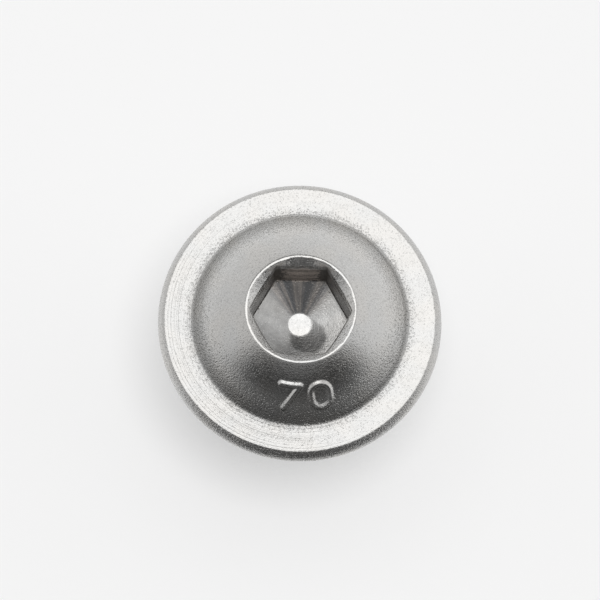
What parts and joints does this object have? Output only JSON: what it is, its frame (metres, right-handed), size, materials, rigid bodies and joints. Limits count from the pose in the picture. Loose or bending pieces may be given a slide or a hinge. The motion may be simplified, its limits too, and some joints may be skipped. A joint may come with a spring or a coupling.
{
  "type": "button head screw",
  "caption": "Button head screw with a wide collar under the dome, a hexagon socket and a metric threaded shank.",
  "frame": {"origin": "on the screw's axis, in the plane of the bearing face under the collar", "axes": "+Z along the axis, out of the socket; the shank runs down -Z; +X through a corner of the hexagon socket"},
  "size_m": [0.0132, 0.0132, 0.0132],
  "materials": {
    "stainless_steel": "bright stainless steel as headed and rolled, with a fine grain and faint turning rings on the collar"
  },
  "bodies": {
    "root": {"button_head_screw": "stainless_steel"}
  },
  "joints": []
}
